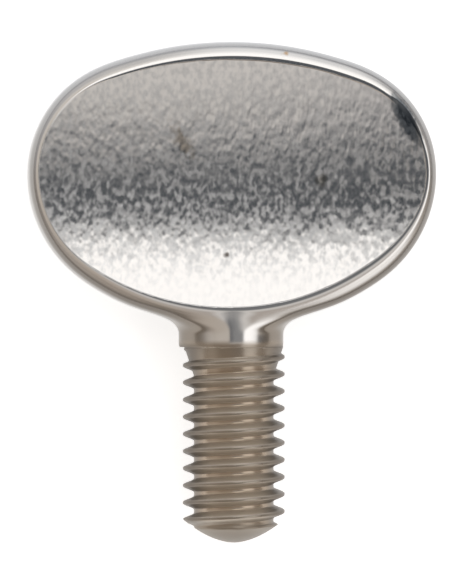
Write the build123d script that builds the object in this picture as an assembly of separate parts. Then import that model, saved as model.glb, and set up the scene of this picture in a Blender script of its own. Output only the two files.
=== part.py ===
from build123d import *

import os
from math import acos, atan2, ceil, degrees, sqrt

# A thumb screw with an oval spade head: one piece of nickel-plated steel.
# It is modelled along +Y with the collar's underside at y = 0, the head above it and the
# thread below, and the head's middle plane at z = 0. The rim of the head is a little thicker
# than the collar and the thread, so the screw comes to rest flat on the rim of one face.
# All lengths are in millimetres.

# Head: an oval slab of four-centre arcs, fuller below its widest line than above it
head_width = 23.7
crown_rise = 7.65
base_drop = 8.95
crown_corner_share = 0.876
base_corner_share = 0.847
rim_radius = 1.15

# Faces: each is pressed in as a shallow barrel, a fine step below the crest of the rim
face_inset = 0.85
face_step = 0.06
dish_depth = 0.35

# Neck: a round collar that flares into the underside of the oval, whose rim stands a hair proud
collar_diameter = 6.1
rim_stand = 0.05
collar_length = 0.635
flare_radius = 1.05

# Shank: a right-hand thread that runs out towards the collar and ends in a blunt point
thread_diameter = 5.88
thread_pitch = 1.0
thread_depth = 0.62
crest_flat = 0.125
shank_length = 11.4
runout_length = 1.7
runout_share = 0.9
tip_rise = 0.87
nose_radius = 2.0
thread_offset = 0.1
thread_start_angle = 220

half_width = head_width / 2
collar_radius = collar_diameter / 2
rim_thickness = collar_diameter + 2 * rim_stand
crest_radius = thread_diameter / 2
root_radius = crest_radius - thread_depth


def oval_arc_radii(height, corner_share):
    """The corner radius and the large radius of one half of the oval."""
    corner = corner_share * height
    large = ((half_width - corner) ** 2 + height**2 - corner**2) / (2 * (height - corner))
    return corner, large


crown_corner, crown_large = oval_arc_radii(crown_rise, crown_corner_share)
base_corner, base_large = oval_arc_radii(base_drop, base_corner_share)

# The flare is tangent to the collar's side and to the oval's lower arc, which sets how high
# the head stands over the collar.
flare_reach = sqrt((base_large + flare_radius) ** 2 - (collar_radius + flare_radius) ** 2)
base_centre = Vector(0, collar_length + flare_reach)
base_y = base_centre.Y - base_large
widest_y = base_y + base_drop
crown_y = widest_y + crown_rise

# The faces cut off the top of the rounded rim, which leaves its crest at the stated thickness.
slab_half = rim_thickness / 2 + rim_radius - sqrt(rim_radius**2 - (rim_radius - face_inset) ** 2)

# Each face is dished as part of a barrel, whose two radii give the same depth across and along.
face_middle_y = (base_y + crown_y) / 2
face_half_height = (crown_y - base_y) / 2 - face_inset
face_half_width = half_width - face_inset
web_half = rim_thickness / 2 - face_step - dish_depth
across_radius = (face_half_width**2 + dish_depth**2) / (2 * dish_depth)
along_radius = (face_half_height**2 + dish_depth**2) / (2 * dish_depth)


def arc_about(centre, radius, start, end):
    """An arc about a centre, from one angle in degrees to another."""
    return CenterArc((centre.X, centre.Y), radius, start, end - start)


def oval(inset):
    """The head's outline, drawn in by an inset."""
    crown_centre = Vector(0, crown_y - crown_large)
    arcs = []
    for side in (1, -1):
        crown_side = Vector(side * (half_width - crown_corner), widest_y)
        base_side = Vector(side * (half_width - base_corner), widest_y)
        crown_turn = crown_side - crown_centre
        base_turn = base_side - base_centre
        crown_angle = degrees(atan2(crown_turn.Y, side * crown_turn.X))
        base_angle = degrees(atan2(base_turn.Y, side * base_turn.X))
        across = 90 - side * 90
        arcs.append(arc_about(crown_side, crown_corner - inset, across, across + side * crown_angle))
        arcs.append(arc_about(base_side, base_corner - inset, across + side * base_angle, across))
    arcs.append(arc_about(crown_centre, crown_large - inset, crown_angle, 180 - crown_angle))
    arcs.append(arc_about(base_centre, base_large - inset, -180 - base_angle, base_angle))
    return make_face(arcs)


def dish_tool():
    """What is pressed away over the front face, down to the barrel of the dish."""
    edge_radius = across_radius - along_radius + sqrt(along_radius**2 - half_width**2)
    inner_radius = across_radius - rim_thickness
    barrel_side = make_face(
        [
            ThreePointArc((-half_width, edge_radius), (0, across_radius), (half_width, edge_radius)),
            Line((half_width, edge_radius), (half_width, inner_radius)),
            Line((half_width, inner_radius), (-half_width, inner_radius)),
            Line((-half_width, inner_radius), (-half_width, edge_radius)),
        ]
    )
    barrel = revolve(Plane.YZ * barrel_side, axis=Axis.Y)
    barrel = Pos(0, face_middle_y, web_half + across_radius) * barrel
    return extrude(oval(face_inset), amount=rim_thickness) & barrel


def head_and_collar():
    """The rounded slab on its collar, flared into it, with both faces pressed in."""
    slab = extrude(oval(0), amount=slab_half, both=True)
    slab = fillet(slab.faces().filter_by(Axis.Z).edges(), rim_radius)
    collar = Rot(-90, 0, 0) * Cylinder(
        collar_radius, base_y + face_inset, align=(Align.CENTER, Align.CENTER, Align.MIN)
    )
    joined = slab + collar
    joined = fillet(new_edges(slab, collar, combined=joined), flare_radius)
    tool = dish_tool()
    return joined - tool - mirror(tool, about=Plane.XY)


def threaded_rod(turns):
    """A rod of whole turns about +Z, sewn from its helical crest and flanks."""
    flank_run = (thread_pitch - crest_flat) / 2
    section = [
        (root_radius, 0),
        (crest_radius, flank_run),
        (crest_radius, flank_run + crest_flat),
        (root_radius, thread_pitch),
    ]
    one_turn = [Pos(0, 0, rise) * Helix(thread_pitch, thread_pitch, radius) for radius, rise in section]
    strips = [
        Face.make_surface_from_curves(low.edge(), high.edge())
        for low, high in zip(one_turn, one_turn[1:])
    ]
    faces = [Pos(0, 0, turn * thread_pitch) * strip for turn in range(turns) for strip in strips]
    axis_step = Edge.make_line((0, 0, 0), (0, 0, thread_pitch))
    ramp = Face.make_surface_from_curves(axis_step, one_turn[0].edge())
    step = Plane.XZ * make_face(Polyline((0, 0), *section, (0, thread_pitch), close=True))
    for end in (0, turns):
        faces.append(Pos(0, 0, end * thread_pitch) * ramp)
        faces.append(Pos(0, 0, end * thread_pitch) * step.face())
    return Solid(Shell(Face.sew_faces(faces)[0]))


def shank():
    """The threaded rod with its blunt point and with the run-out cone that fills its last turns."""
    rod = threaded_rod(ceil((shank_length + collar_length) / thread_pitch) + 2)
    rod = Pos(0, -shank_length - thread_pitch, 0) * Rot(-90, 0, thread_start_angle) * rod

    nose_centre = Vector(0, nose_radius - shank_length)
    point_edge = Vector(root_radius, tip_rise - shank_length)
    lean = point_edge - nose_centre
    nose_end = degrees(atan2(lean.Y, lean.X) - acos(nose_radius / lean.length))
    nose = arc_about(nose_centre, nose_radius, -90, nose_end)
    clear = point_edge + Vector(2 * thread_depth, 2 * thread_depth)
    buried_y = collar_length / 2
    blunt_point = make_face(
        [
            nose,
            Line(nose @ 1, (point_edge.X, point_edge.Y)),
            Line((point_edge.X, point_edge.Y), (clear.X, clear.Y)),
            Line((clear.X, clear.Y), (clear.X, buried_y)),
            Line((clear.X, buried_y), (0, buried_y)),
            Line((0, buried_y), nose @ 0),
        ]
    )
    runout_rise = runout_share * thread_depth
    runout = make_face(
        Polyline(
            (0, -2 * runout_length),
            (root_radius - runout_rise, -2 * runout_length),
            (root_radius + runout_rise, 0),
            (root_radius, buried_y),
            (0, buried_y),
            close=True,
        )
    )
    return (rod & revolve(blunt_point, axis=Axis.Y)) + revolve(runout, axis=Axis.Y)


screw = head_and_collar() + Pos(thread_offset, 0, 0) * shank()
box = screw.bounding_box(optimal=True)
screw = Pos(-box.center().X, -box.center().Y, -box.min.Z) * screw
screw.label = "thumb_screw"

os.makedirs("parts", exist_ok=True)
export_step(screw, "parts/thumb_screw.step")
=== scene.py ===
"""A nickel-plated thumb screw with an oval spade head, lying on a white table."""

import logging
import math
from collections.abc import Callable, Sequence
from dataclasses import dataclass, field
from enum import Enum
from functools import partial
from typing import Any, NamedTuple

import bmesh
import bpy
import numpy as np
from mathutils import Matrix, Vector, noise


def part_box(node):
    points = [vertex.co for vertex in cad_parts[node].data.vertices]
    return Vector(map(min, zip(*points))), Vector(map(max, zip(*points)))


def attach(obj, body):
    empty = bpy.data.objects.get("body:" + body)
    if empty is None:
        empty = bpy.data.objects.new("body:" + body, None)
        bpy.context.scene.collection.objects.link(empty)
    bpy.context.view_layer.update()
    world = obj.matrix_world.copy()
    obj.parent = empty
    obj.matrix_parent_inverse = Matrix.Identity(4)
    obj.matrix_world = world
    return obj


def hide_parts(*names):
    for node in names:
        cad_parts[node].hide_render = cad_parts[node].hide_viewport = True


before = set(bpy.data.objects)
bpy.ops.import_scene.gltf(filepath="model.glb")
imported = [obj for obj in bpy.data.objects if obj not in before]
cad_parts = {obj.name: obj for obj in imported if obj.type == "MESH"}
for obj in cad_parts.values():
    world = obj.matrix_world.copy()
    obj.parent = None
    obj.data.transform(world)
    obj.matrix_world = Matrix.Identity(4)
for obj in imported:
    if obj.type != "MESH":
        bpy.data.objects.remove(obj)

NODE = "thumb_screw"
BODY = "root"

# The mesh attribute that marks the buffed faces of the head.
BUFFED = "buffed"

# Sizes are in millimetres and become metres when the mesh is placed.
MM = 0.001

# The photograph's height in pixels, and the size of one of its pixels on the screw.
PHOTO_HEIGHT = 573
PIXEL = 0.0583

# Rounding draws each point of a cage to its neighbours: this weight of itself to one of each.
CAGE_MIDDLE = 4.0
CAGE_SUM = CAGE_MIDDLE + 2

# The kinds of node that are used again and again.
MATH = "ShaderNodeMath"
VECTOR_MATH = "ShaderNodeVectorMath"
MAP_RANGE = "ShaderNodeMapRange"
MIX = "ShaderNodeMix"
SEPARATE = "ShaderNodeSeparateXYZ"
RAMP = "ShaderNodeValToRGB"

# The numbers of a Mix node's sockets, for numbers and for colours.
NUMBER_A, NUMBER_B = 2, 3
COLOUR_A, COLOUR_B, MIXED_COLOUR = 6, 7, 2

# What adds a node to one tree, and where something starts and where it is full.
Adder = Callable[..., bpy.types.Node]
Span = tuple[float, float]

log = logging.getLogger(NODE)


class Side(Enum):
    """The two faces of the head."""

    FRONT = 1
    BACK = -1


def linear(hex_colour: str) -> tuple[float, float, float, float]:
    """Turn an sRGB hex value into a linear colour.

    Args:
        hex_colour: Six hex digits after a hash.

    Returns:
        Red, green, blue and full alpha.
    """
    channels = []
    for start in (1, 3, 5):
        value = int(hex_colour[start : start + 2], 16) / 255
        channels.append(value / 12.92 if value <= 0.04045 else ((value + 0.055) / 1.055) ** 2.4)
    return (*channels, 1.0)


def add_node(
    tree: bpy.types.NodeTree,
    kind: str,
    inputs: dict[str | int, Any] | Sequence[Any] = (),
    stops: Sequence[tuple[float, str]] = (),
    **settings: Any,
) -> bpy.types.Node:
    """Add a node with its settings, its constants and its links.

    Args:
        tree: The tree that takes the node.
        kind: The node's type name.
        inputs: What its inputs take, by name or number or in their order: a constant, an output
            socket, or a node whose first output is linked.
        stops: Places from 0 to 1 and sRGB colours, for a node with a colour ramp.
        settings: Properties of the node.

    Returns:
        The new node.
    """
    node = tree.nodes.new(kind)
    for name, value in settings.items():
        setattr(node, name, value)
    for key, value in inputs.items() if isinstance(inputs, dict) else enumerate(inputs):
        if isinstance(value, bpy.types.Node):
            value = value.outputs[0]
        if isinstance(value, bpy.types.NodeSocket):
            tree.links.new(value, node.inputs[key])
        else:
            node.inputs[key].default_value = value
    for index, (place, colour) in enumerate(stops):
        elements = node.color_ramp.elements
        element = elements[index] if index < len(elements) else elements.new(place)
        element.position = place
        element.color = linear(colour)
    return node


def empty_tree(owner: bpy.types.Material | bpy.types.World) -> Adder:
    """Clear the node tree of a material or a world.

    Args:
        owner: What the tree belongs to.

    Returns:
        What adds a node to that tree.
    """
    owner.use_nodes = True
    owner.node_tree.nodes.clear()
    return partial(add_node, owner.node_tree)


def points_of(mesh: bpy.types.Mesh) -> np.ndarray:
    """Read the places of a mesh's points.

    Args:
        mesh: The mesh.

    Returns:
        A row of x, y and z for each point.
    """
    places = np.empty(len(mesh.vertices) * 3)
    mesh.vertices.foreach_get("co", places)
    return places.reshape(-1, 3)


def plain_mesh(holder: bpy.types.Object) -> bpy.types.Mesh:
    """Turn an object with modifiers into a plain mesh and remove the object.

    Args:
        holder: The object, linked to the scene.

    Returns:
        The evaluated mesh.
    """
    bpy.context.view_layer.update()
    graph = bpy.context.evaluated_depsgraph_get()
    mesh = bpy.data.meshes.new_from_object(holder.evaluated_get(graph))
    holder.modifiers.clear()
    source = holder.data
    bpy.data.objects.remove(holder)
    bpy.data.meshes.remove(source)
    return mesh


class Arc(NamedTuple):
    """A part of the oval, with the angles of its outward normals in radians."""

    x: float
    y: float
    radius: float
    start: float
    end: float


@dataclass(frozen=True)
class Oval:
    """The four-centre oval of the head, fuller below its widest line than above it."""

    width: float
    base_y: float
    crown_rise: float = 7.65
    base_drop: float = 8.95
    crown_corner_share: float = 0.876
    base_corner_share: float = 0.847

    @property
    def widest_y(self) -> float:
        """The height of the widest line."""
        return self.base_y + self.base_drop

    @property
    def half_height(self) -> float:
        """Half of the height from base to crown."""
        return (self.base_drop + self.crown_rise) / 2

    @property
    def middle_y(self) -> float:
        """The height half way between base and crown."""
        return self.base_y + self.half_height

    def arc_radii(self, height: float, corner_share: float) -> tuple[float, float]:
        """Work out the two radii of the upper or lower half.

        Args:
            height: How far the half reaches from the widest line.
            corner_share: The corner's radius as a share of that height.

        Returns:
            The corner's radius and the large radius.
        """
        corner = corner_share * height
        reach = self.width / 2 - corner
        return corner, (reach**2 + height**2 - corner**2) / (2 * (height - corner))

    def arcs(self) -> list[Arc]:
        """Lay out the arcs of the outline.

        Returns:
            The arcs in turn, from the middle of the base round by the right side.
        """
        half = self.width / 2
        crown_corner, crown_large = self.arc_radii(self.crown_rise, self.crown_corner_share)
        base_corner, base_large = self.arc_radii(self.base_drop, self.base_corner_share)
        base_y = self.base_y + base_large
        crown_y = self.widest_y + self.crown_rise - crown_large
        base_turn = math.atan2(self.widest_y - base_y, half - base_corner)
        crown_turn = math.atan2(self.widest_y - crown_y, half - crown_corner)
        left = math.pi
        return [
            Arc(0, base_y, base_large, -left / 2, base_turn),
            Arc(half - base_corner, self.widest_y, base_corner, base_turn, 0),
            Arc(half - crown_corner, self.widest_y, crown_corner, 0, crown_turn),
            Arc(0, crown_y, crown_large, crown_turn, left - crown_turn),
            Arc(crown_corner - half, self.widest_y, crown_corner, left - crown_turn, left),
            Arc(base_corner - half, self.widest_y, base_corner, left, left - base_turn),
            Arc(0, base_y, base_large, left - base_turn, left * 3 / 2),
        ]

    def stations(self, count: int) -> tuple[np.ndarray, np.ndarray]:
        """Points at even steps of the outline, the first at the middle of the base.

        Args:
            count: How many points.

        Returns:
            An array of x and y, and the angles of the outward normals there.
        """
        x, y, radius, start, end = np.array(self.arcs()).T
        lengths = radius * (end - start)
        ends = np.cumsum(lengths)
        along = ends[-1] * np.arange(count) / count
        on = np.searchsorted(ends, along, side="right")
        angle = start[on] + (along - ends[on] + lengths[on]) / radius[on]
        across = x[on] + radius[on] * np.cos(angle)
        up = y[on] + radius[on] * np.sin(angle)
        return np.column_stack((across, up)), angle

    def inset_at(self, points: np.ndarray) -> tuple[np.ndarray, np.ndarray]:
        """How far each point lies inside the outline, and towards where.

        Args:
            points: An array of x and y.

        Returns:
            The distance to the outline, and the angle of the outward normal there.
        """
        inset = np.full(len(points), np.inf)
        normal = np.zeros(len(points))
        for arc in self.arcs():
            across = points[:, 0] - arc.x
            up = points[:, 1] - arc.y
            angle = np.arctan2(up, across)
            turned = np.mod(angle - arc.start, 2 * math.pi)
            depth = arc.radius - np.hypot(across, up)
            nearer = (turned <= arc.end - arc.start) & (depth < inset)
            inset = np.where(nearer, depth, inset)
            normal = np.where(nearer, angle, normal)
        return inset, normal


@dataclass(frozen=True)
class Dent:
    """A knock that has flattened the rim: its place, half sizes, depth and direction."""

    x: float
    y: float
    length: float
    width: float
    depth: float
    turn: float

    def floor(self, places: np.ndarray, crest: float) -> np.ndarray:
        """The height that the knock leaves at most.

        Args:
            places: Rows that begin with x and y.
            crest: The height of the rim's crest.

        Returns:
            The height at each place.
        """
        along = math.radians(self.turn)
        across = places[:, 0] - self.x
        up = places[:, 1] - self.y
        length = (across * math.cos(along) + up * math.sin(along)) / self.length
        width = (up * math.cos(along) - across * math.sin(along)) / self.width
        return crest - self.depth * (1 - length**2 - width**2)


@dataclass
class SpadeHead:
    """The head, neck and collar, as a cage of quads that is rounded by subdivision."""

    oval: Oval
    thickness: float

    # Rim: its height, its widths round the oval, and the level land on its crest, which wears
    # away to the left and is a little narrower at the right.
    rim_height: float = 0.95
    rim_right: float = 0.62
    rim_left: float = 0.58
    rim_crown: float = 0.92
    rim_base: float = 1.0
    rim_corner: float = 0.24
    rim_land: float = 0.2
    land_worn_left: float = 1.6
    land_worn_right: float = 0.6
    land_least: float = 0.1

    # Faces: a fine step below the crest, a shallow dish, and slow waves that differ front and back.
    face_step: float = 0.03
    dish_depth: float = 0.35
    wave_depth: float = 0.006
    wave_length: float = 3.2
    wave_shift: float = 9.0
    dents: list[Dent] = field(default_factory=list)

    # Neck: level with the crest along its middle, crowned across, drawn in at its sides, and
    # closed under the collar round the throat of the thread.
    neck_drop: float = 0.006
    neck_crown: float = 0.08
    flare_pull: float = 0.885
    flare_lift: float = 0.045
    collar_radius: float = 3.05
    collar_edge: float = 0.14
    throat_radius: float = 2.88
    throat_offset: float = 0.1

    # Cage: its columns, the window that the neck fills (columns to each side and rings to each
    # face), its rings as shares of the rim's width and as turns round it in degrees, the heights
    # of the collar's rings with how far each still follows the window, and how it is rounded.
    columns: int = 32
    window: int = 2
    window_depth: int = 3
    face_rings: tuple[float, ...] = (3.4, 2.3, 1.6, 1.3)
    crest_rings: tuple[float, ...] = (1.12, 1.0)
    rim_turns: tuple[float, ...] = (68.0, 42.0, 14.0)
    wall_share: float = 0.55
    collar_rings: tuple[tuple[float, float], ...] = ((1.04, 0.03), (0.74, 0.0), (0.38, 0.0))
    levels: int = 3
    press_start: float = 0.6
    press_end: float = 0.8

    def __post_init__(self) -> None:
        """Start an empty cage."""
        self.points: list[tuple[float, float, float]] = []
        self.faces: list[tuple[int, ...]] = []
        self.rings: list[list[int]] = []

    @property
    def crest_z(self) -> float:
        """The height of the rim's crest over the middle plane."""
        return self.thickness / 2

    @property
    def neck_z(self) -> float:
        """The height of the neck's middle line over the middle plane."""
        return self.crest_z - self.neck_drop

    @property
    def window_rows(self) -> tuple[int, int]:
        """The rows of the first and last ring that the neck's window touches."""
        wall = len(self.rim_section())
        return wall - self.window_depth, wall + self.window_depth

    @property
    def neck_count(self) -> int:
        """How many cage points stand round the neck."""
        return 4 * (self.window + self.window_depth)

    def rim_width(self, normal: np.ndarray) -> np.ndarray:
        """The width of the rounded rim: narrow at the sides, full at the base's right corner.

        Args:
            normal: Angles of the outline's outward normals.

        Returns:
            The width at each angle.
        """
        across = np.cos(normal)
        up = np.sin(normal)
        right = np.maximum(across, 0) ** 2
        base = np.maximum(-up, 0) ** 2
        sides = self.rim_right * right + self.rim_left * (across**2 - right)
        ends = self.rim_base * base + self.rim_crown * (up**2 - base)

        # Half way between right and base, each of the two is a half.
        corner = self.rim_corner * (2 * right) * (2 * base)
        return sides + ends + corner

    def land_width(self, normal: np.ndarray) -> np.ndarray:
        """The width of the level land on the rim's crest.

        Args:
            normal: Angles of the outline's outward normals.

        Returns:
            The width at each angle.
        """
        across = np.cos(normal)
        worn_left = self.land_worn_left * np.maximum(-across, 0)
        worn_right = self.land_worn_right * np.maximum(across, 0) ** 2
        return self.rim_land * np.clip(1 - worn_left - worn_right, self.land_least, 1)

    def dish(self, x: np.ndarray, y: np.ndarray) -> np.ndarray:
        """The height of the dished face over the middle plane.

        Args:
            x: Places across the head.
            y: Places along the screw.

        Returns:
            The height at each place.
        """
        across = x / (self.oval.width / 2 - self.rim_left)
        reach = self.oval.half_height - self.rim_crown - self.rim_land
        along = (y - self.oval.middle_y) / reach
        sunk = self.crest_z - self.face_step - self.dish_depth
        return sunk + self.dish_depth * (across**2 + along**2)

    def add_ring(self, share: float, height: float | None, side: Side) -> list[int]:
        """Add a ring of cage points whose rounded form runs along inside the outline.

        Args:
            share: How far inside it lies, as a share of the rim's width.
            height: Its height, or None for the height of the dish.
            side: The face that it belongs to.

        Returns:
            The points' numbers.
        """
        outline, normal = self.oval.stations(self.columns)
        inset = share * self.rim_width(normal)
        target = outline - inset[:, None] * np.column_stack((np.cos(normal), np.sin(normal)))
        itself = np.eye(self.columns)
        after = np.roll(itself, 1, axis=1)
        pull = (CAGE_MIDDLE * itself + after + after.T) / CAGE_SUM
        control = np.linalg.solve(pull, target)
        if height is None:
            heights = self.dish(control[:, 0], control[:, 1])
        else:
            heights = np.full(self.columns, height)
        first = len(self.points)
        for (x, y), z in zip(control, heights):
            self.points.append((float(x), float(y), side.value * float(z)))
        return list(range(first, len(self.points)))

    def rim_section(self) -> list[tuple[float, float | None]]:
        """Lay out the rim's section from the face outwards to its wall.

        Returns:
            Shares of the rim's width, and heights or None for the height of the dish.
        """
        section: list[tuple[float, float | None]] = [(share, None) for share in self.face_rings]
        section += [(share, self.crest_z) for share in self.crest_rings]
        for turn in self.rim_turns:
            angle = math.radians(turn)
            drop = self.rim_height * (1 - math.sin(angle))
            section.append((1 - math.cos(angle), self.crest_z - drop))
        section.append((0.0, (self.crest_z - self.rim_height) * self.wall_share))
        return section

    def build_rim(self) -> None:
        """Add all rings, from the front face round the wall to the back face."""
        section = self.rim_section()
        self.rings = [self.add_ring(share, z, Side.FRONT) for share, z in section]
        self.rings.append(self.add_ring(0.0, 0.0, Side.FRONT))
        self.rings += [self.add_ring(share, z, Side.BACK) for share, z in reversed(section)]

    def build_face(self, border: list[int], side: Side) -> None:
        """Fill a face inside its inmost ring with a square grid.

        Args:
            border: The inmost ring.
            side: The face to fill.
        """
        cells = self.columns // 4
        shift = cells // 2
        turned = border[-shift:] + border[:-shift] + border[-shift : 1 - shift]
        number: dict[tuple[int, int], int] = {}
        for i in range(cells + 1):
            number[i, 0] = turned[i]
            number[cells, i] = turned[cells + i]
            number[cells - i, cells] = turned[2 * cells + i]
            number[0, cells - i] = turned[3 * cells + i]
        edge = {key: np.array(self.points[place]) for key, place in number.items()}
        for i in range(1, cells):
            for j in range(1, cells):
                u = i / cells
                v = j / cells
                upright = (1 - v) * edge[i, 0] + v * edge[i, cells]
                level = (1 - u) * edge[0, j] + u * edge[cells, j]
                lower = (1 - u) * edge[0, 0] + u * edge[cells, 0]
                upper = (1 - u) * edge[0, cells] + u * edge[cells, cells]
                x, y, _ = upright + level - (1 - v) * lower - v * upper
                number[i, j] = len(self.points)
                self.points.append((float(x), float(y), side.value * float(self.dish(x, y))))
        for i in range(cells):
            for j in range(cells):
                quad = (number[i, j], number[i + 1, j], number[i + 1, j + 1], number[i, j + 1])
                self.faces.append(quad if side is Side.FRONT else quad[::-1])

    def join_rings(self) -> None:
        """Lay quads between the rings, but for the window that the neck fills."""
        first, last = self.window_rows
        for row, (here, there) in enumerate(zip(self.rings, self.rings[1:])):
            for k in range(self.columns):
                from_middle = min(k, self.columns - 1 - k)
                if first <= row < last and from_middle < self.window:
                    continue
                after = (k + 1) % self.columns
                self.faces.append((here[k], there[k], there[after], here[after]))

    def window_loop(self) -> list[int]:
        """Find the edge of the neck's window.

        Returns:
            The numbers of its points in turn, from the middle of the front to the right.
        """
        first, last = self.window_rows
        across = range(-self.window, self.window + 1)
        front = [self.rings[first][k] for k in across]
        right = [ring[self.window] for ring in self.rings[first + 1 : last]]
        back = [self.rings[last][k] for k in reversed(across)]
        left = [ring[-self.window] for ring in self.rings[last - 1 : first : -1]]
        loop = front + right + back + left
        return loop[self.window :] + loop[: self.window]

    def lift_window(self) -> None:
        """Draw the flare in at its sides, and bring the rim over the neck level with the collar."""
        first, last = self.window_rows
        across = range(-self.window, self.window + 1)
        for ring in self.rings[first : last + 1]:
            for k in (-self.window, self.window):
                x, y, z = self.points[ring[k]]
                self.points[ring[k]] = (x * self.flare_pull, y + self.flare_lift, z)
        for ring in (self.rings[row] for row in (first - 1, first, last, last + 1)):
            for k in across:
                x, y, z = self.points[ring[k]]
                level = max(abs(z), self.neck_z - self.neck_crown * x * x)
                self.points[ring[k]] = (x, y, math.copysign(level, z))

            # The middle is raised, so that it comes out level when it is rounded.
            left, middle, right = (ring[k] for k in (-1, 0, 1))
            x, y, z = self.points[middle]
            sides = abs(self.points[left][2]) + abs(self.points[right][2])
            raised = (CAGE_SUM * self.neck_z - sides) / CAGE_MIDDLE
            self.points[middle] = (x, y, math.copysign(raised, z))

    def build_neck(self) -> None:
        """Draw the window's edge down to the collar and in under its rounded lower edge."""
        loop = self.window_loop()
        step = 2 * math.pi / self.neck_count
        swell = CAGE_SUM / (CAGE_MIDDLE + 2 * math.cos(step))
        edge = self.collar_edge
        rings = [(height, self.collar_radius, 0.0, share) for height, share in self.collar_rings]
        rings += [
            (1.2 * edge, self.collar_radius, 0.0, 0.0),
            (0.0, self.collar_radius - edge / 4, 0.0, 0.0),
            (0.0, self.throat_radius + edge, self.throat_offset / 2, 0.0),
            (0.0, self.throat_radius, self.throat_offset, 0.0),
        ]
        above = loop
        for height, radius, offset, share in rings:
            below = []
            reach = self.neck_z if radius == self.collar_radius else radius
            for m in range(self.neck_count):
                across = offset + radius * swell * math.sin(m * step)
                place = Vector((across, height, reach * swell * math.cos(m * step)))
                place = place.lerp(Vector(self.points[loop[m]]), share)
                below.append(len(self.points))
                self.points.append(tuple(place))
            for m in range(self.neck_count):
                after = (m + 1) % self.neck_count
                self.faces.append((above[m], below[m], below[after], above[after]))
            above = below

    def press_faces(self, mesh: bpy.types.Mesh) -> None:
        """Set both faces to the true dish, with the slow waves and knocks of a pressed blank.

        Args:
            mesh: The rounded head.
        """
        places = points_of(mesh)
        inset, normal = self.oval.inset_at(places[:, :2])
        width = self.rim_width(normal)
        side = np.where(places[:, 2] > 0, 1.0, -1.0)
        height = np.abs(places[:, 2])
        shifted = np.column_stack((places[:, :2], self.wave_shift * side))
        wave = np.array([noise.noise(Vector(place) / self.wave_length) for place in shifted])
        dished = self.dish(places[:, 0], places[:, 1]) - self.face_step + self.wave_depth * wave
        short = np.clip(1 - inset / width, 0, 1)
        rounded = self.crest_z - self.rim_height * (1 - np.sqrt(1 - short**2))
        rounded = np.where(inset < width, np.maximum(rounded, height), rounded)
        pressed = np.where(inset > width + self.land_width(normal), dished, rounded)
        pressed = np.minimum(pressed, self.crest_z)
        blend = (inset / width - self.press_start) / (self.press_end - self.press_start)
        share = np.where(height > self.crest_z / 2, np.clip(blend, 0, 1), 0)
        height = height * (1 - share) + pressed * share
        for dent in self.dents:
            floor = dent.floor(places, self.crest_z)
            height = np.where(side > 0, np.minimum(height, floor), height)
        places[:, 2] = side * height
        mesh.vertices.foreach_set("co", places.ravel())
        mesh.update()

    def mark_faces(self, mesh: bpy.types.Mesh) -> None:
        """Mark the buffed faces inside the rim for the finish.

        Args:
            mesh: The welded screw, in millimetres.
        """
        places = points_of(mesh)
        inset, normal = self.oval.inset_at(places[:, :2])
        inside = inset > self.rim_width(normal) + self.land_width(normal)
        high = np.abs(places[:, 2]) > self.crest_z / 2
        share = np.where(inside & high & (places[:, 1] > self.oval.base_y), 1.0, 0.0)
        mark = mesh.attributes.new(BUFFED, "FLOAT", "POINT")
        mark.data.foreach_set("value", share)

    def build(self) -> bpy.types.Mesh:
        """Make the rounded mesh of head, neck and collar.

        Returns:
            The mesh, open below the collar.
        """
        self.build_rim()
        self.join_rings()
        self.build_face(self.rings[0], Side.FRONT)
        self.build_face(self.rings[-1], Side.BACK)
        self.lift_window()
        self.build_neck()
        cage = bpy.data.meshes.new("head_cage")
        cage.from_pydata(self.points, [], self.faces)
        holder = bpy.data.objects.new("head_cage", cage)
        bpy.context.scene.collection.objects.link(holder)
        rounding = holder.modifiers.new("rounding", "SUBSURF")
        rounding.levels = self.levels
        rounding.render_levels = self.levels
        mesh = plain_mesh(holder)
        self.press_faces(mesh)
        return mesh


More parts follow.
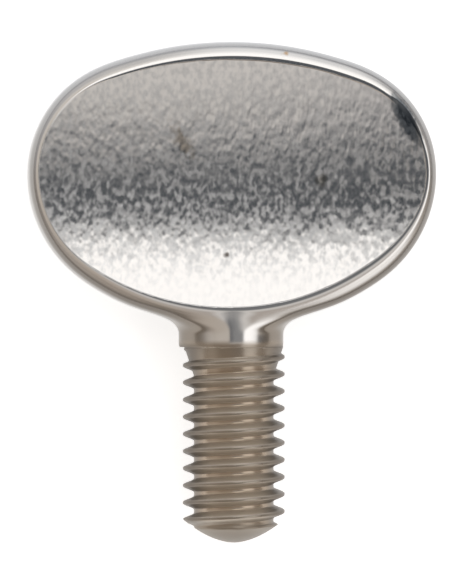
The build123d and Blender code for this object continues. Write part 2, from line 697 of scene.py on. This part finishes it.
@dataclass
class ThreadedShank:
    """The right-hand thread with its run-out and blunt point, made by a node tree."""

    length: float
    throat_radius: float
    axis_offset: float
    columns: int
    crest_radius: float = 2.97
    depth: float = 0.65
    pitch: float = 1.0
    crest_flat: float = 0.125
    root_flat: float = 0.22
    rounding: float = 0.8
    crest_height: float = -0.56
    runout_length: float = 1.7
    fade_length: float = 0.35
    tip_rise: float = 0.87
    tip_roundness: float = 0.55
    rows_per_pitch: int = 14
    seam: float = 0.002

    def inputs(self) -> dict[str, float | int]:
        """List the sizes that the node tree takes.

        Returns:
            The sizes by the names of the tree's inputs.
        """
        step = self.pitch / self.rows_per_pitch
        rows_up = math.ceil((self.pitch / 2 - self.crest_height) / step)
        top = self.crest_height + rows_up * step
        rows = math.ceil((top + self.length + self.pitch / 2) / step)
        return {
            "Column Points": self.columns + 1,
            "Row Points": rows + 1,
            "Travel": rows * step,
            "Top": top,
            "Pitch": self.pitch,
            "Crest Height": self.crest_height,
            "Crest Radius": self.crest_radius,
            "Root Radius": self.crest_radius - self.depth,
            "Crest Half": self.crest_flat / 2 / self.pitch,
            "Root Start": 0.5 - self.root_flat / 2 / self.pitch,
            "Throat Radius": self.throat_radius,
            "Run-out": self.runout_length,
            "Fade": self.fade_length,
            "Length": self.length,
            "Tip Rise": self.tip_rise,
            "Tip Roundness": self.tip_roundness,
            "Rounding": self.rounding,
            "Axis Offset": self.axis_offset,
        }

    def node_tree(self) -> bpy.types.NodeTree:
        """Build the tree that wraps a flat grid into the threaded shank.

        Returns:
            The tree, which takes the sizes and the finish.
        """
        tree = bpy.data.node_groups.new("rolled_thread", "GeometryNodeTree")
        add = partial(add_node, tree)
        for name, value in self.inputs().items():
            kind = "NodeSocketInt" if isinstance(value, int) else "NodeSocketFloat"
            tree.interface.new_socket(name=name, in_out="INPUT", socket_type=kind)
        for name, way in (("Material", "INPUT"), ("Geometry", "OUTPUT")):
            tree.interface.new_socket(name=name, in_out=way, socket_type=f"NodeSocket{name}")
        size = add("NodeGroupInput").outputs
        grid = add("GeometryNodeMeshGrid", [1.0, 1.0, size["Column Points"], size["Row Points"]])
        flat = add(SEPARATE, [add("GeometryNodeInputPosition")]).outputs

        # Each row of the grid winds down along the helix; crest and root follow its row.
        fall = add(MATH, [0.5, flat["Y"]], operation="SUBTRACT")
        drop = add(MATH, [fall, size["Travel"]], operation="MULTIPLY")
        row = add(MATH, [size["Top"], drop], operation="SUBTRACT")
        lead = add(MATH, [flat["X"], size["Pitch"]], operation="MULTIPLY")
        free = add(MATH, [row, lead], operation="SUBTRACT")
        below, fade, runout = (
            add(MATH, [size[name], -1.0], operation="MULTIPLY")
            for name in ("Length", "Fade", "Run-out")
        )
        height = add("ShaderNodeClamp", [free, below, 0.0])

        # The section of a rolled thread: straight flanks that round off into crest and root.
        turned = add(MATH, [row, size["Crest Height"]], operation="SUBTRACT")
        phase = add(MATH, [turned, size["Pitch"]], operation="DIVIDE")
        off_crest = add(MATH, [phase, 0.5], operation="PINGPONG")
        limits = ("Crest Half", "Root Start", "Crest Radius", "Root Radius")
        flank = [off_crest, *(size[name] for name in limits)]
        straight = add(MAP_RANGE, flank)
        rounded = add(MAP_RANGE, flank, interpolation_type="SMOOTHSTEP")
        section = add(MIX, {"Factor": size["Rounding"], NUMBER_A: straight, NUMBER_B: rounded})

        # Under the collar the crest fades and the root runs out; the point cuts both off.
        throat = size["Throat Radius"]
        crest = add(MAP_RANGE, [height, fade, 0.0, size["Crest Radius"], throat])
        root = add(MAP_RANGE, [height, runout, 0.0, size["Root Radius"], throat])
        faded = add(MATH, [section, crest], operation="MINIMUM")
        filled = add(MATH, [faded, root], operation="MAXIMUM")
        rise = add(MATH, [height, size["Length"]], operation="ADD")
        climb = add(MATH, [rise, size["Tip Rise"]], operation="DIVIDE")
        dome = add(MATH, [climb, size["Tip Roundness"]], operation="POWER")
        tip = add(MATH, [dome, size["Root Radius"]], operation="MULTIPLY")
        radius = add(MATH, [filled, tip], operation="MINIMUM")

        # The flat grid is wrapped round the axis, and its two sides are closed to a seam.
        turn = add(MATH, [flat["X"], 2 * math.pi], operation="MULTIPLY")
        across, over = (
            add(MATH, [radius, add(MATH, [turn], operation=wave)], operation="MULTIPLY")
            for wave in ("COSINE", "SINE")
        )
        moved = add(MATH, [across, size["Axis Offset"]], operation="ADD")
        wrapped = add("ShaderNodeCombineXYZ", [moved, height, over])
        shaped = add("GeometryNodeSetPosition", {"Geometry": grid, "Position": wrapped})
        closed = add("GeometryNodeMergeByDistance", {"Geometry": shaped, "Distance": self.seam})
        real = add("GeometryNodeRealizeInstances", {"Geometry": closed})
        plated = add("GeometryNodeSetMaterial", {"Geometry": real, "Material": size["Material"]})
        add("NodeGroupOutput", {"Geometry": plated})
        return tree

    def build(self, plate: bpy.types.Material) -> bpy.types.Mesh:
        """Run the node tree and keep its result as a plain mesh.

        Args:
            plate: The finish of the thread.

        Returns:
            The shank, open at the collar.
        """
        tree = self.node_tree()
        holder = bpy.data.objects.new("shank", bpy.data.meshes.new("shank_seed"))
        modifier = holder.modifiers.new("thread", "NODES")
        modifier.node_group = tree
        values = {**self.inputs(), "Material": plate}
        for item in tree.interface.items_tree:
            if item.in_out == "INPUT":
                modifier[item.identifier] = values[item.name]
        bpy.context.scene.collection.objects.link(holder)
        return plain_mesh(holder)


@dataclass(frozen=True)
class StainAndShade:
    """A stain or painted shade on the front: place, half sizes and direction, and how it covers."""

    x: float
    y: float
    half_length: float
    half_width: float
    turn: float
    colour: str
    cover: float
    ragged: float = 1.0
    soft: float = 0.8
    reach: float = 1.5

    def lay_over(self, add: Adder, colour: Any, where: Any, pits: Any, front: float) -> Any:
        """Lay the spot over a colour, with an edge that the pits make ragged.

        Args:
            add: Adds a node to the material.
            colour: The colour so far.
            where: Places in millimetres.
            pits: The noise of the pits.
            front: The height of the front crest, in millimetres.

        Returns:
            The colour with the spot.
        """
        away = add(VECTOR_MATH, [where, (self.x, self.y, front)], operation="SUBTRACT")
        spin = {"Vector": away, "Angle": -math.radians(self.turn)}
        turned = add("ShaderNodeVectorRotate", spin, rotation_type="Z_AXIS")
        sizes = (self.half_length, self.half_width, self.reach)
        shrunk = add(VECTOR_MATH, [turned, sizes], operation="DIVIDE")
        reach = add(VECTOR_MATH, [shrunk], operation="LENGTH").outputs["Value"]
        ragged = add(MATH, [pits, self.ragged, reach], operation="MULTIPLY_ADD")
        edge = 1 + self.ragged / 2
        span = [ragged, edge, edge - self.soft, 0.0, self.cover]
        cover = add(MAP_RANGE, span, interpolation_type="SMOOTHSTEP")
        mix = {"Factor": cover, COLOUR_A: colour, COLOUR_B: linear(self.colour)}
        return add(MIX, mix, data_type="RGBA").outputs[MIXED_COLOUR]


class Layer(NamedTuple):
    """What covers one part of the screw; a layer without a colour takes the painted wall shade."""

    part: str
    colour: str | None
    roughness: float


@dataclass(frozen=True)
class NickelPlate:
    """Bright nickel over pressed steel: buffed faces, dull sides and thread, painted shade and
    light.
    """

    name: str = "bright_nickel_plate"
    stains_and_shade: tuple[StainAndShade, ...] = ()

    # The bare face, the painted wall shade from the base by the sides to the crown, and the layers,
    # each of which covers the ones before it. The film on the thread is half metal.
    face_colour: str = "#f2eeea"
    face_roughness: float = 0.08
    wall_shade_colours: tuple[str, ...] = ("#6e675f", "#94918e", "#b0b2b5")
    layers: tuple[Layer, ...] = (
        Layer("pit", "#e9e7e5", 0.2),
        Layer("rim", "#f2eeea", 0.26),
        Layer("neck", "#f2eeea", 0.13),
        # The steep sides take the painted wall shade.
        Layer("wall", None, 0.22),
        # The steep sides of the neck and collar are painted darker: painted shade.
        Layer("neck_wall_shade", "#867e75", 0.22),
        Layer("thread", "#b5a593", 0.2),
        # The crests are painted darker than the roots: painted shade that evens out the thread's
        # own light and dark.
        Layer("painted_ridge_shade", "#a0968a", 0.25),
        # The flanks are painted lighter: painted light in the shade between the threads.
        Layer("flank", "#c8bdaf", 0.4),
        # The thread's left and right edges are painted darker: painted shade.
        Layer("side", "#766d63", 0.4),
        Layer("tip", "#8a8176", 0.4),
    )
    film_metallic: float = 0.5

    # Grain: soft dimples and fine pits, both longer along the screw. Thumbs have rubbed the
    # dimples shallower in the lower half and at the crown, and the pits away at the base.
    dimple_width: float = 0.42
    dimple_length: float = 0.7
    dimple_depth: float = 0.018
    pit_width: float = 0.3
    pit_length: float = 0.45
    pit_span: Span = (0.32, 0.74)
    rubbed_below: float = 9.3
    rubbed_share: float = 0.44
    crown_above: float = 12.9
    crown_share: float = 0.5
    worn_below: float = 3.6
    worn_pits: float = 0.45
    rub_fade: float = 2.2

    # Where each layer starts and where it is full: slopes are parts of the normal, spans are
    # heights over the collar's underside, but the side's are shares of the thread's radius and
    # the tip's are heights over the point.
    rim_slope: Span = (0.992, 0.95)
    wall_slope: Span = (0.97, 0.7)
    flank_slope: Span = (0.3, 0.75)
    neck_span: Span = (2.4, 1.0)
    thread_span: Span = (0.5, -0.1)
    side_span: Span = (0.43, 0.88)
    side_shift: float = 0.1
    tip_span: Span = (1.8, 0.4)

    def add_grain(self, add: Adder, where: Any) -> tuple[Any, Any, Any]:
        """Let the grain of the steel show through the plating of the faces.

        Args:
            add: Adds a node to the material.
            where: Places in millimetres.

        Returns:
            The bump of the dimples, the share of the matt pits, and the noise of the pits.
        """
        height = add(SEPARATE, [where]).outputs["Y"]
        buffed = add("ShaderNodeAttribute", attribute_name=BUFFED).outputs["Fac"]
        noises = []
        for width, length in (
            (self.dimple_width, self.dimple_length),
            (self.pit_width, self.pit_length),
        ):
            grid = add(VECTOR_MATH, [where, (width, length, width)], operation="DIVIDE")
            inputs = {"Vector": grid, "Scale": 1.0, "Detail": 1.0}
            noises.append(add("ShaderNodeTexNoise", inputs).outputs["Fac"])
        dimples, pits = noises
        pitted = add(MAP_RANGE, [pits, *self.pit_span], interpolation_type="SMOOTHSTEP")
        lower, crown, worn = (
            add(MAP_RANGE, [height, start, start + self.rub_fade, below, above])
            for start, below, above in (
                (self.rubbed_below, self.rubbed_share, 1.0),
                (self.crown_above, 1.0, self.crown_share),
                (self.worn_below, self.worn_pits, 1.0),
            )
        )
        strength, share = (
            add(MATH, [buffed, add(MATH, pair, operation="MULTIPLY")], operation="MULTIPLY")
            for pair in ((lower, crown), (pitted, worn))
        )
        dents = {"Strength": strength, "Distance": self.dimple_depth * MM, "Height": dimples}
        return add("ShaderNodeBump", dents), share, pits

    def add_masks(
        self, add: Adder, where: Any, facing: Any, shank: ThreadedShank
    ) -> dict[str, bpy.types.Node]:
        """Find where rim, steep sides, neck and the parts of the thread lie.

        Args:
            add: Adds a node to the material.
            where: Places in millimetres.
            facing: The coordinates of the normal.
            shank: The thread.

        Returns:
            The share of each layer, by its name.
        """
        spot = add(SEPARATE, [where]).outputs
        shifted = add(MATH, [spot["X"], self.side_shift], operation="SUBTRACT")
        level, slope, aside = (
            add(MATH, [value], operation="ABSOLUTE")
            for value in (facing["Z"], facing["Y"], shifted)
        )
        flat, axis = (1.0, 0.0, 1.0), (-shank.axis_offset, 0.0, 0.0)
        off_axis = add(VECTOR_MATH, [where, flat, axis], operation="MULTIPLY_ADD")
        radius = add(VECTOR_MATH, [off_axis], operation="LENGTH").outputs["Value"]
        crest = shank.crest_radius
        masks = {
            name: add(MAP_RANGE, [value, *span], interpolation_type="SMOOTHSTEP")
            for name, value, span in (
                ("rim", level, self.rim_slope),
                ("wall", level, self.wall_slope),
                ("neck", spot["Y"], self.neck_span),
                ("thread", spot["Y"], self.thread_span),
                ("painted_ridge_shade", radius, (crest - shank.depth, crest)),
                ("flank", slope, self.flank_slope),
                ("side", aside, [share * crest for share in self.side_span]),
                ("tip", spot["Y"], [rise - shank.length for rise in self.tip_span]),
            )
        }
        for name, whole, part in (
            ("neck_wall_shade", "neck", "wall"),
            ("painted_ridge_shade", "thread", "painted_ridge_shade"),
            ("flank", "thread", "flank"),
            ("side", "thread", "side"),
        ):
            masks[name] = add(MATH, [masks[whole], masks[part]], operation="MULTIPLY")
        return masks

    def make(self, origin: Vector, front: float, shank: ThreadedShank) -> bpy.types.Material:
        """Build the material.

        Args:
            origin: The middle of the collar's underside, in metres.
            front: The height of the front crest over it, in millimetres.
            shank: The thread that it covers.

        Returns:
            The material.
        """
        # Buffed nickel gives the eye a mirror, which the grain of the steel breaks up. The rim
        # is a duller mirror, the steep sides are darker with painted shade, and a brown film hides
        # most of the thread, whose flanks carry painted light and whose crests and edges painted
        # shade.
        material = bpy.data.materials.new(self.name)
        add = empty_tree(material)
        place = add("ShaderNodeTexCoord").outputs
        local = add(VECTOR_MATH, [place["Object"], origin], operation="SUBTRACT")
        where = add(VECTOR_MATH, {0: local, "Scale": 1 / MM}, operation="SCALE")
        facing = add(SEPARATE, [place["Normal"]]).outputs
        bump, pit_share, pits = self.add_grain(add, where)
        mask = {"pit": pit_share, **self.add_masks(add, where, facing, shank)}

        # The steep sides are dull where no wheel reached them, and their colour is painted shade:
        # darkest where they face the base, lightest where they face the crown.
        upward = add(MAP_RANGE, [facing["Y"], -1.0])
        wall_shade = add(RAMP, [upward], list(zip((0.0, 0.5, 1.0), self.wall_shade_colours)))
        colour: Any = linear(self.face_colour)
        roughness: Any = self.face_roughness
        for part, tint, gloss in self.layers:
            cover = linear(tint) if tint else wall_shade
            mix = {"Factor": mask[part], COLOUR_A: colour, COLOUR_B: cover}
            colour = add(MIX, mix, data_type="RGBA").outputs[MIXED_COLOUR]
            roughness = add(MIX, {"Factor": mask[part], NUMBER_A: roughness, NUMBER_B: gloss})
        # Stains, and the painted dark reflection in the dent.
        for stain_and_shade in self.stains_and_shade:
            colour = stain_and_shade.lay_over(add, colour, where, pits, front)

        # The film lies on the thread's flanks and sides and on its point.
        film = mask["tip"]
        for name in ("flank", "side"):
            film = add(MATH, [film, mask[name]], operation="MAXIMUM")
        metal = add(MAP_RANGE, [film, 0.0, 1.0, 1.0, self.film_metallic])
        surface = add(
            "ShaderNodeBsdfPrincipled",
            {"Base Color": colour, "Metallic": metal, "Roughness": roughness, "Normal": bump},
        )
        add("ShaderNodeOutputMaterial", {"Surface": surface})
        return material


@dataclass
class ThumbScrew:
    """The whole screw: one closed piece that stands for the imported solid."""

    shank_length: float = 11.4
    base_y: float = 1.145
    throat_radius: float = 2.88
    axis_offset: float = 0.16
    weld: float = 0.004

    def __post_init__(self) -> None:
        """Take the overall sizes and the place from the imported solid."""
        low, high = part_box(NODE)
        self.origin = Vector(
            ((low.x + high.x) / 2, low.y + self.shank_length * MM, (low.z + high.z) / 2)
        )
        self.width = (high.x - low.x) / MM
        self.thickness = (high.z - low.z) / MM

    def build(self, finish: NickelPlate) -> bpy.types.Object:
        """Args:
            finish: The plating.

        Returns:
            The finished object.
        """
        head = SpadeHead(
            oval=Oval(width=self.width, base_y=self.base_y),
            thickness=self.thickness,
            throat_radius=self.throat_radius,
            throat_offset=self.axis_offset,
            dents=[Dent(x=10.0, y=13.2, length=1.6, width=0.6, depth=0.05, turn=119)],
        )
        shank = ThreadedShank(
            length=self.shank_length,
            throat_radius=self.throat_radius,
            axis_offset=self.axis_offset,
            columns=head.neck_count * 2**head.levels,
        )
        plate = finish.make(self.origin, head.crest_z, shank)
        welded = bmesh.new()
        for mesh in (head.build(), shank.build(plate)):
            welded.from_mesh(mesh)
            log.info("%s: %d faces", mesh.name, len(mesh.polygons))
            bpy.data.meshes.remove(mesh)
        bmesh.ops.remove_doubles(welded, verts=welded.verts, dist=self.weld)
        bmesh.ops.recalc_face_normals(welded, faces=welded.faces)
        open_edges = sum(1 for edge in welded.edges if not edge.is_manifold)
        mesh = bpy.data.meshes.new("nickel_screw")
        welded.to_mesh(mesh)
        welded.free()
        head.mark_faces(mesh)
        mesh.transform(Matrix.Translation(self.origin) @ Matrix.Scale(MM, 4))
        mesh.materials.clear()
        mesh.materials.append(plate)
        mesh.polygons.foreach_set("material_index", np.zeros(len(mesh.polygons), int))
        mesh.shade_smooth()
        piece = bpy.data.objects.new("nickel_screw", mesh)
        bpy.context.scene.collection.objects.link(piece)
        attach(piece, BODY)
        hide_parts(NODE)
        log.info("nickel_screw: %d faces, %d open edges", len(mesh.polygons), open_edges)
        return piece


class Panel(NamedTuple):
    """An upright strip of the studio: where it starts, how it fades in, and its colours."""

    start: float
    fade: float
    stops: list[tuple[float, str]]


def studio_panels() -> list[Panel]:
    """Set up the strips of the studio; all angles are degrees from overhead.

    Returns:
        From left to right: a pale far wall, a grey wall, the shade beside the lens, the strip
        over the screw with the dark lens, a white panel and a grey far wall.
    """
    far_left = [(-90.0, "#beb6ae"), (0.0, "#c4beb8"), (90.0, "#d6d6d8")]
    left = [
        (-90.0, "#9c9186"),
        (-5.0, "#a8a199"),
        (10.0, "#b9b4ae"),
        (45.0, "#c4c1bd"),
        (90.0, "#d0d2d6"),
    ]
    shade = [
        (-90.0, "#8f867e"),
        (-20.0, "#a39d98"),
        (-9.0, "#bdbbba"),
        (-7.5, "#b2b0b0"),
        (-2.5, "#5f6266"),
        (1.6, "#3e4247"),
        (4.6, "#4a4e53"),
        (5.7, "#ffffff"),
        (90.0, "#f4f6f8"),
    ]
    middle = [
        (-90.0, "#8f867e"),
        (-20.0, "#a39d98"),
        (-8.0, "#c2c0be"),
        (-5.3, "#b8b6b4"),
        (-0.3, "#696b6e"),
        (1.6, "#42464b"),
        (4.4, "#4a4e53"),
        (5.8, "#ffffff"),
        (90.0, "#f4f6f8"),
    ]
    right = [
        (-90.0, "#d8d2ca"),
        (-45.0, "#ffffff"),
        (9.0, "#ffffff"),
        (14.0, "#a5a29e"),
        (45.0, "#f0f0f0"),
        (90.0, "#e0e2e6"),
    ]
    far = [
        (-90.0, "#b0a9a2"),
        (-9.0, "#b0a9a2"),
        (-5.0, "#5a5b5d"),
        (5.0, "#5a5b5d"),
        (9.0, "#b0aaa4"),
        (90.0, "#b4b4b6"),
    ]
    return [
        Panel(-90.0, 0.0, far_left),
        Panel(-58.0, 18.0, left),
        Panel(-8.0, 4.0, shade),
        Panel(-2.0, 5.0, middle),
        Panel(22.5, 5.0, right),
        Panel(54.0, 8.0, far),
    ]


def sky_place(angle: float) -> float:
    """Where an angle from overhead, in degrees, lies on the way from horizon to horizon."""
    return angle / 180 + 0.5


@dataclass
class Studio:
    """The white table, the soft light round it and the camera over it."""

    screw: ThumbScrew
    panels: list[Panel] = field(default_factory=studio_panels)
    light: float = 1.15
    table_reach: float = 400.0
    table_colour: str = "#f4f4f4"
    table_glow: float = 0.7
    lean: float = 3.0
    camera_distance: float = 320.0
    sensor: float = 24.0
    aim_x: float = -0.06
    aim_y: float = 3.53

    def build_table(self) -> None:
        """Lay a white table that keeps a soft shadow."""
        reach = self.table_reach * MM
        corners = [(-reach, -reach, 0), (reach, -reach, 0), (reach, reach, 0), (-reach, reach, 0)]
        mesh = bpy.data.meshes.new("table")
        mesh.from_pydata(corners, [], [(0, 1, 2, 3)])

        # Matt paper gives the eye plain white with a soft shadow, so it glows where it is seen.
        material = bpy.data.materials.new("white_paper")
        add = empty_tree(material)
        ray = add("ShaderNodeLightPath").outputs
        seen: Any = ray["Is Camera Ray"]
        for kind in ("Is Glossy Ray", "Is Transmission Ray"):
            seen = add(MATH, [seen, ray[kind]], operation="MAXIMUM")
        share = add(MATH, [seen, self.table_glow], operation="MULTIPLY")
        paper = add("ShaderNodeBsdfDiffuse", {"Color": linear(self.table_colour)})
        glow = add("ShaderNodeEmission", {"Color": linear("#ffffff"), "Strength": share})
        both = add("ShaderNodeAddShader", [paper, glow])
        add("ShaderNodeOutputMaterial", {"Surface": both})
        mesh.materials.append(material)
        table = bpy.data.objects.new("table", mesh)
        bpy.context.scene.collection.objects.link(table)

    def build_world(self) -> None:
        """Surround the table with the soft panels of the studio."""
        world = bpy.data.worlds.new("studio")
        bpy.context.scene.world = world
        add = empty_tree(world)
        way = add("ShaderNodeTexCoord").outputs["Generated"]
        parts = add(SEPARATE, [way]).outputs
        quarter = math.pi / 2
        turns = [add(MATH, [parts[axis], parts["Z"]], operation="ARCTAN2") for axis in ("Y", "X")]
        along, across = (add(MAP_RANGE, [turn, -quarter, quarter]) for turn in turns)
        colour = None
        for panel in self.panels:
            stops = [(sky_place(angle), tint) for angle, tint in panel.stops]
            strip = add(RAMP, [along], stops).outputs["Color"]
            if colour is None:
                colour = strip
                continue
            ends = (sky_place(panel.start), sky_place(panel.start + panel.fade))
            share = add(MAP_RANGE, [across, *ends])
            mix = {"Factor": share, COLOUR_A: colour, COLOUR_B: strip}
            colour = add(MIX, mix, data_type="RGBA").outputs[MIXED_COLOUR]
        sky = add("ShaderNodeBackground", {"Color": colour, "Strength": self.light})
        add("ShaderNodeOutputWorld", {"Surface": sky})

    def build_camera(self) -> None:
        """Look down on the screw as the photograph looks at it, a little from the left."""
        data = bpy.data.cameras.new("camera")
        data.sensor_fit = "VERTICAL"
        data.sensor_height = self.sensor
        data.lens = self.sensor * self.camera_distance / (PHOTO_HEIGHT * PIXEL)
        camera = bpy.data.objects.new("camera", data)
        bpy.context.scene.collection.objects.link(camera)
        turn = math.radians(self.lean)
        aim = self.screw.origin + Vector((self.aim_x, self.aim_y, 0)) * MM
        back = Vector((-math.sin(turn), 0, math.cos(turn)))
        camera.location = aim + back * self.camera_distance * MM
        camera.rotation_euler = (0, -turn, 0)
        bpy.context.scene.camera = camera

    def build(self) -> None:
        """Set up table, light, camera and view."""
        self.build_table()
        self.build_world()
        self.build_camera()
        bpy.context.scene.view_settings.view_transform = "Standard"
        log.info("studio: table, light and camera")


def stains_and_painted_shade() -> tuple[StainAndShade, ...]:
    """List the spots on the front.

    Returns:
        Two brown spots, a dark pit, a speck of rust on the rim and, in the dent, a painted
        dark reflection.
    """
    return (
        StainAndShade(-2.9, 11.9, 1.5, 0.6, turn=122, colour="#8a7350", cover=0.55),
        StainAndShade(5.1, 9.7, 0.6, 0.45, turn=80, colour="#8f7f5c", cover=0.5),
        StainAndShade(-0.4, 5.35, 0.25, 0.25, turn=0, colour="#4a4038", cover=0.9),
        StainAndShade(3.0, 17.0, 0.3, 0.2, turn=0, colour="#b58a4e", cover=0.7),
        # In the dent: a painted dark reflection in grey-blue.
        StainAndShade(
            10.0, 13.2, 2.05, 0.63, turn=119, colour="#666c72", cover=0.95, ragged=0.5, soft=0.5
        ),
    )


def main() -> None:
    """Build the screw and its studio."""
    logging.basicConfig(level=logging.INFO, format="%(name)s: %(message)s")
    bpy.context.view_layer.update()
    screw = ThumbScrew()
    screw.build(NickelPlate(stains_and_shade=stains_and_painted_shade()))
    Studio(screw).build()


if __name__ == "__main__":
    main()
